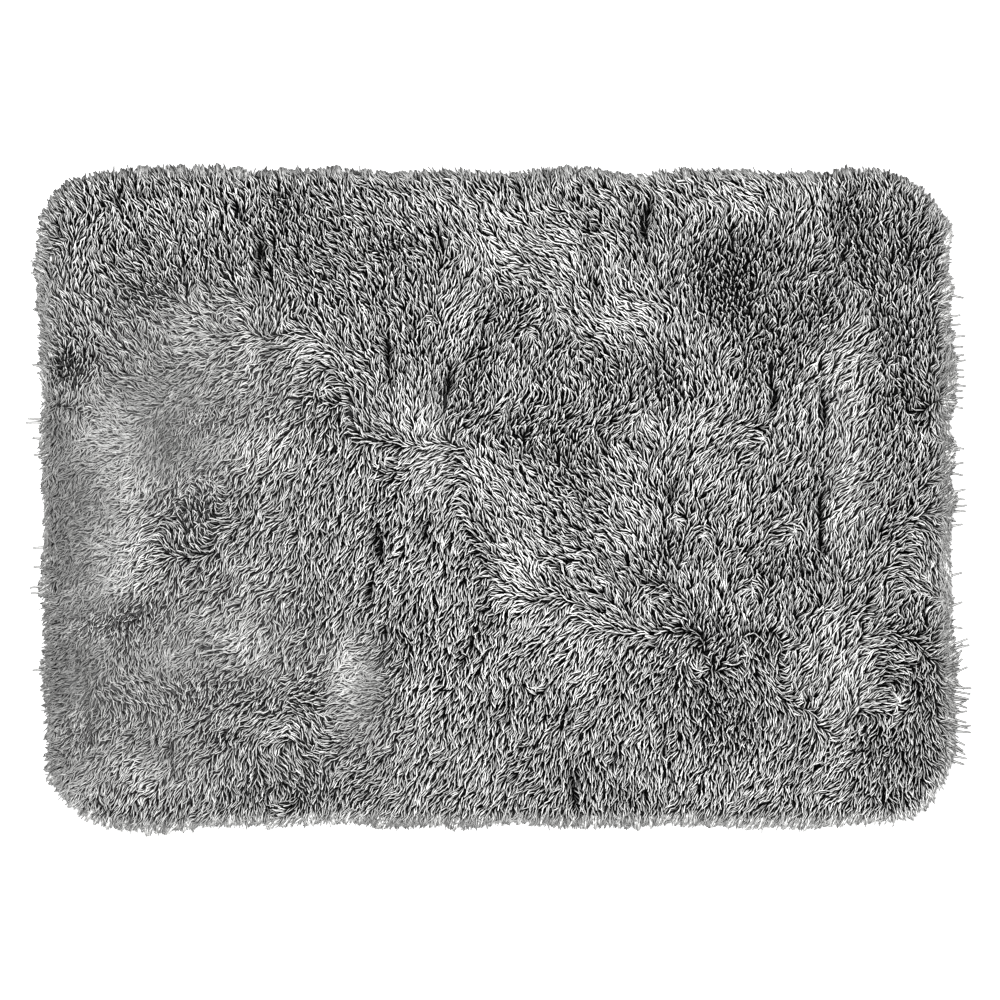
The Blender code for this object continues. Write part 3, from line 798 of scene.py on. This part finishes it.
def rim_strands(draw):
    """Paths, widths and shades of the strands under the rim's locks, and of the stiff ones."""
    count = RIM_STRANDS
    turn = np.linspace(0.0, 1.0, count, endpoint=False)
    turn += draw.uniform(-0.4, 0.4, count) / count
    x, y = rim_point(turn)
    outward = outline_at(x, y)[1]
    tier = draw.uniform(0.0, 1.0, count)
    heading = heading_of(ahead_of(nap_at(x, y), 0.5) + outward * 0.8)
    heading = heading + np.radians(12) * draw.normal(0, 1, count)
    root = np.stack([x, y], axis=1) - outward * (0.014 + 0.010 * tier)[:, None]
    reach = (0.020 + 0.006 * tier) * draw.uniform(0.75, 1.2, count)
    knee = root + ahead_of(heading, reach * 0.55)
    tip = root + ahead_of(heading + np.radians(8) * draw.normal(0, 1, count), reach)
    path = [np.column_stack([root, 0.004 + 0.018 * tier]),
            np.column_stack([knee, 0.004 + 0.014 * tier]),
            np.column_stack([tip, 0.0018 + 0.006 * tier])]
    width = STRAND_WIDTH * draw.uniform(0.7, 1.0, count)
    tone = 0.42 + 0.10 * draw.normal(0, 1, count)
    # Painted shade: darker towards the root, and by which side of the rim it is.
    dark = rim_shade(outward)
    below = np.stack([dark + 7, dark + 1.5, dark + 0.5], axis=1)

    stiff = np.array(rim_rows(SPIKES, *CHART_RIM))
    turn = np.radians(stiff[:, 2])
    start = stiff[:, :2] * CM - ahead_of(turn, SPIKE_ROOT)
    reach = stiff[:, 3] * MM + SPIKE_HIDDEN
    level = draw.uniform(0.006, 0.014, len(stiff))
    spikes = [np.column_stack([start + ahead_of(turn, reach * part), level * (1 - 0.5 * part)])
              for part in (0.0, 0.4, 1.0)]
    path = [np.concatenate(pair) for pair in zip(path, spikes)]
    width = np.concatenate([width, np.full(len(stiff), SPIKE_WIDTH)])
    tone = np.concatenate([tone, draw.uniform(0.45, 0.60, len(stiff))])
    below = np.concatenate([below, np.tile(SPIKE_SHADE, (len(stiff), 1))])
    side = np.full(len(width), RIM_SIDE_SHARE)
    return path, width, {"below": below, "tone": np.clip(tone, 0, 1), "side": side}


def rim_point(turn):
    """Point of the rounded outline a share of the way round it."""
    angle = np.linspace(-math.pi, math.pi, OUTLINE_STEPS, endpoint=False)
    reach = np.full(OUTLINE_STEPS, 0.2)
    for _ in range(40):
        depth = outline_at(reach * np.cos(angle), reach * np.sin(angle))[0]
        reach += depth * 0.8
    px, py = reach * np.cos(angle), reach * np.sin(angle)
    px, py = np.append(px, px[0]), np.append(py, py[0])
    run = np.concatenate(([0.0], np.cumsum(np.hypot(np.diff(px), np.diff(py)))))
    place = (turn % 1.0) * run[-1]
    return np.interp(place, run, px), np.interp(place, run, py)


def rounded_sheet(name, inset, cells_long, cells_wide):
    """A level grid bent to the outline, drawn in by inset."""
    bm = bmesh.new()
    bmesh.ops.create_grid(bm, x_segments=cells_long, y_segments=cells_wide, size=1.0)
    for vert in bm.verts:
        x, y = vert.co.x * HALF_LENGTH, vert.co.y * HALF_WIDTH
        side_x, side_y = (1 if x >= 0 else -1), (1 if y >= 0 else -1)
        radius = CORNER_RADII[(side_x, side_y)]
        across = abs(x) - (HALF_LENGTH - radius)
        up = abs(y) - (HALF_WIDTH - radius)
        if across > 0 and up > 0:
            shrink = 1 - max(across, up) / math.hypot(across, up)
            x -= side_x * across * shrink
            y -= side_y * up * shrink
        vert.co.x = x * (1 - inset / HALF_LENGTH)
        vert.co.y = y * (1 - inset / HALF_WIDTH)
        vert.co.z = 0.0
    mesh = bpy.data.meshes.new(name)
    bm.to_mesh(mesh)
    bm.free()
    mesh.shade_smooth()
    return add_object(name, mesh)


def points_of(mesh):
    """The places of a mesh's points, a row for each."""
    points = np.empty(len(mesh.vertices) * 3)
    mesh.vertices.foreach_get("co", points)
    return points.reshape(-1, 3)


def under_pile(draw):
    """The dense foot of the pile, a lumpy body that the strands grow out of, near black with painted shade.
    """
    piece = rounded_sheet("under_pile", FOOT_INSET, 80, 58)
    mesh = piece.data
    points = points_of(mesh)
    x, y = points[:, 0], points[:, 1]
    depth = np.maximum(outline_at(x, y)[0] - 0.013, 0.0)
    shoulder = np.sqrt(np.clip(1 - (1 - np.minimum(depth / 0.030, 1)) ** 2, 0, 1))
    lumps = 0.0012 * noise_field(draw, 0.012)(x, y)
    foot = pile_heights(x, y) - ROOT_DEPTH + 0.006 * matting_at(x, y) + lumps
    points[:, 2] = FOOT_RIM + shoulder * np.maximum(foot - FOOT_RIM, 0)
    mesh.vertices.foreach_set("co", points.ravel())
    bm = bmesh.new()
    bm.from_mesh(mesh)
    rim = [edge for edge in bm.edges if edge.is_boundary]
    drawn = bmesh.ops.extrude_edge_only(bm, edges=rim)["geom"]
    for item in drawn:
        if isinstance(item, bmesh.types.BMVert):
            item.co.z = FOOT_BOTTOM
    lowest = [item for item in drawn if isinstance(item, bmesh.types.BMEdge) and item.is_boundary]
    bmesh.ops.contextual_create(bm, geom=lowest)
    bmesh.ops.recalc_face_normals(bm, faces=bm.faces)
    bm.to_mesh(mesh)
    bm.free()
    mesh.shade_smooth()
    # Painted shade on the foot is paler where the pile is matted.
    add_attribute(mesh, "matted", matting_at(*points_of(mesh)[:, :2].T))
    return piece


def ground_cloth():
    """The woven cloth that the pile is tufted into."""
    piece = rounded_sheet("ground_cloth", 0.010, 44, 32)
    solidify = piece.modifiers.new("thickness", "SOLIDIFY")
    solidify.thickness = CLOTH_THICKNESS
    solidify.offset = 1.0
    return piece


# --- Materials ---

def new_material(name, roughness, specular=0.5):
    """A material, its node tree and its Principled shader."""
    material = bpy.data.materials.new(name)
    material.use_nodes = True
    shader = material.node_tree.nodes["Principled BSDF"]
    shader.inputs["Roughness"].default_value = roughness
    shader.inputs["Specular IOR Level"].default_value = specular
    return material, material.node_tree, shader


def add_node(tree, kind, values=(), sources=(), **settings):
    """A shader node with its settings, the values of some inputs and the sources of others."""
    node = tree.nodes.new("ShaderNode" + kind)
    for label, setting in settings.items():
        setattr(node, label, setting)
    for label, value in dict(values).items():
        node.inputs[label].default_value = value
    for label, source in dict(sources).items():
        tree.links.new(source, node.inputs[label])
    return node


def add_map(tree, source, span, onto=(0.0, 1.0)):
    """The source's values between the ends of a span, spread over another."""
    ends = dict(zip(("From Min", "From Max", "To Min", "To Max"), (*span, *onto)))
    return add_node(tree, "MapRange", ends, {"Value": source}).outputs["Result"]


def add_noise(tree, scale, detail):
    """Noise in the object's own space."""
    place = add_node(tree, "TexCoord")
    return add_node(tree, "TexNoise", {"Scale": scale, "Detail": detail},
                    {"Vector": place.outputs["Object"]}).outputs["Fac"]


def add_ramp(tree, source, stops):
    """The colour that stops of a place and a colour give for each value of the source."""
    ramp = add_node(tree, "ValToRGB", sources={"Fac": source})
    first, last = ramp.color_ramp.elements
    first.position, last.position = stops[0][0], stops[-1][0]
    for place, colour in stops[1:-1]:
        ramp.color_ramp.elements.new(place)
    for stop, (place, colour) in zip(ramp.color_ramp.elements, stops):
        stop.color = (*colour, 1)
    return ramp.outputs["Color"]


def add_bump(tree, shader, height, strength, distance):
    """Small relief on a shader."""
    bump = add_node(tree, "Bump", {"Strength": strength, "Distance": distance}, {"Height": height})
    tree.links.new(bump.outputs["Normal"], shader.inputs["Normal"])


def yarn_material():
    """Grey yarn with painted shade: bright at the pile's surface and painted darker below it, each strand
    in its own tone.
    """
    material, tree, shader = new_material("grey_yarn_painted_shade", roughness=0.85, specular=0.0)
    below = add_node(tree, "Attribute", attribute_name="below")
    tone = add_node(tree, "Attribute", attribute_name="tone")
    # The ramp turns how deep a place looks into painted shade.
    ramp = add_ramp(tree, add_map(tree, below.outputs["Fac"], SHADE_DEPTHS), YARN_SHADE_STOPS)
    fibre = add_noise(tree, 260.0, 2.0)
    spread = add_map(tree, tone.outputs["Fac"], (0.0, 1.0), TONES)
    mottle = add_map(tree, fibre, (0.3, 0.7), (0.78, 1.20))
    strength = add_node(tree, "Math", operation="MULTIPLY", sources={0: spread, 1: mottle})
    colour = add_node(tree, "VectorMath", operation="SCALE",
                      sources={0: ramp, "Scale": strength.outputs["Value"]})
    tree.links.new(colour.outputs["Vector"], shader.inputs["Base Color"])
    add_bump(tree, shader, fibre, 0.25, 0.0004)
    return material


def under_pile_material():
    """The foot of the pile in painted shade, nearly black and speckled, and paler where it is matted."""
    material, tree, shader = new_material("shaded_pile_foot", roughness=1.0, specular=0.0)
    speckle = add_noise(tree, 300.0, 4.0)
    ramp = add_ramp(tree, speckle, ((0.35, (0.0005,) * 3), (0.75, (0.008,) * 3)))
    matted = add_node(tree, "Attribute", attribute_name="matted")
    paler = add_node(tree, "MixRGB", {"Color2": (0.09, 0.09, 0.09, 1)},
                     {"Fac": matted.outputs["Fac"], "Color1": ramp})
    tree.links.new(paler.outputs["Color"], shader.inputs["Base Color"])
    add_bump(tree, shader, speckle, 0.6, 0.002)
    return material


def cloth_material():
    """Plain-woven ground cloth in pale grey."""
    material, tree, shader = new_material("woven_ground", roughness=0.9)
    place = add_node(tree, "TexCoord")
    weave = [add_node(tree, "TexWave", {"Scale": 110.0, "Distortion": 0.6, "Detail": 1.0},
                      {"Vector": place.outputs["Object"]}, wave_type="BANDS",
                      bands_direction=axis) for axis in "XY"]
    cross = add_node(tree, "Math", operation="MULTIPLY",
                     sources={0: weave[0].outputs["Fac"], 1: weave[1].outputs["Fac"]})
    ramp = add_ramp(tree, cross.outputs["Value"],
                    ((0.0, (0.22, 0.22, 0.21)), (1.0, (0.46, 0.46, 0.44))))
    tree.links.new(ramp, shader.inputs["Base Color"])
    add_bump(tree, shader, cross.outputs["Value"], 0.5, 0.0006)
    return material


def floor_material():
    """Plain white floor."""
    material, tree, shader = new_material("white_floor", roughness=0.9)
    shader.inputs["Base Color"].default_value = (0.92, 0.92, 0.92, 1)
    return material


# --- The studio ---

def add_studio():
    """White floor, white surroundings and one broad soft light overhead."""
    bpy.ops.mesh.primitive_plane_add(size=30.0, location=(0, 0, -0.0004))
    floor = bpy.context.object
    floor.name = "floor"
    floor.data.materials.append(floor_material())
    world = bpy.data.worlds.new("white_room")
    world.use_nodes = True
    background = world.node_tree.nodes["Background"]
    background.inputs["Color"].default_value = (1, 1, 1, 1)
    background.inputs["Strength"].default_value = ROOM_LIGHT
    bpy.context.scene.world = world
    light = bpy.data.lights.new("overhead", "AREA")
    light.shape = "DISK"
    light.size = LAMP_SIZE
    light.energy = LAMP_POWER
    lamp = add_object("overhead", light)
    lamp.location = LAMP_PLACE
    lamp.rotation_mode = "QUATERNION"
    lamp.rotation_quaternion = lamp.location.to_track_quat("Z", "Y")
    bpy.context.scene.view_settings.view_transform = "Standard"


def add_camera():
    """Long lens straight above the rug."""
    data = bpy.data.cameras.new("camera")
    data.sensor_width = SENSOR
    data.lens = SENSOR * CAMERA_HEIGHT / FRAME_WIDTH
    data.clip_end = 60.0
    camera = add_object("camera", data)
    camera.location = (*CAMERA_SHIFT, CAMERA_HEIGHT)
    bpy.context.scene.camera = camera


# --- Assembly ---

def attach(piece, material):
    """Gives a piece its material and body, and lets it stand for the frame's solid."""
    piece.data.materials.clear()
    piece.data.materials.append(material)
    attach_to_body(piece, BODY)
    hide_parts(NODE)


def main():
    """Builds every piece, the studio and the camera."""
    draw = np.random.default_rng(SEED)
    cloth = ground_cloth()
    attach(cloth, cloth_material())
    attach(under_pile(draw), under_pile_material())
    yarn = yarn_material()
    path, width, shade = field_strands(draw, FIELD_STRANDS)
    order = np.argsort(path[0][:, 0], kind="stable")
    pieces = -(-len(order) // PER_PIECE)
    for number, part in enumerate(np.array_split(order, pieces)):
        some = {label: values[part] for label, values in shade.items()}
        places = [points[part] for points in path]
        attach(sweep_strands(f"pile_{number + 1}", places, width[part], some), yarn)
    attach(sweep_strands("felt", *field_strands(draw, FELT_STRANDS, felt=True)), yarn)
    attach(sweep_strands("rim_locks", *rim_locks(draw)), yarn)
    attach(sweep_strands("rim_strands", *rim_strands(draw)), yarn)
    add_studio()
    add_camera()


main()
